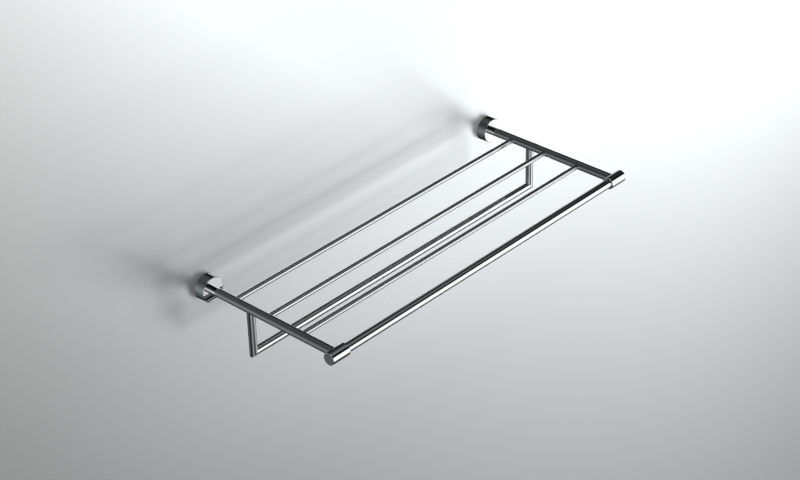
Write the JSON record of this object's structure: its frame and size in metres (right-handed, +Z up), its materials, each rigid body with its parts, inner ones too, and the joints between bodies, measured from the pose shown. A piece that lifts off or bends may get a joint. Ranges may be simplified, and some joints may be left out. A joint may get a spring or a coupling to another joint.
{
  "type": "towel rack",
  "caption": "Wall-mounted towel shelf of round chrome tubes, with a towel bar hung below it on two drop posts.",
  "frame": {"origin": "on the wall plane, midway between the two wall flanges, at the height of the side arms' axes; it is the centre of the four wall screw holes", "axes": "+X to the right for someone facing the wall, +Y into the wall, +Z up; the rack stands out from the wall towards -Y"},
  "size_m": [0.6066, 0.2503, 0.0907],
  "materials": {
    "chrome": "polished",
    "bracket_steel": "satin",
    "screw_steel": "dark zinc plated",
    "insert_brass": "turned"
  },
  "bodies": {
    "root": {"wall_bracket_left": "bracket_steel", "wall_bracket_right": "bracket_steel", "flange_left": "chrome", "flange_right": "chrome", "flange_grub_left": "screw_steel", "flange_grub_right": "screw_steel", "arm_bolt_left": "screw_steel", "arm_bolt_right": "screw_steel", "arm_washer_left": "screw_steel", "arm_washer_right": "screw_steel", "rear_insert_left": "insert_brass", "rear_insert_right": "insert_brass", "arm_left": "chrome", "arm_right": "chrome", "front_stud_left": "insert_brass", "front_stud_right": "insert_brass", "corner_sleeve_left": "chrome", "corner_sleeve_right": "chrome", "sleeve_grub_left": "screw_steel", "sleeve_grub_right": "screw_steel", "arm_core_left": "insert_brass", "arm_core_right": "insert_brass", "post_spigot_left": "bracket_steel", "post_spigot_right": "bracket_steel", "post_grub_left": "screw_steel", "post_grub_right": "screw_steel", "post_left": "chrome", "post_right": "chrome", "towel_bar": "chrome", "rail_rear": "chrome", "rail_middle": "chrome", "rail_front": "chrome", "front_bar": "chrome"}
  },
  "joints": []
}
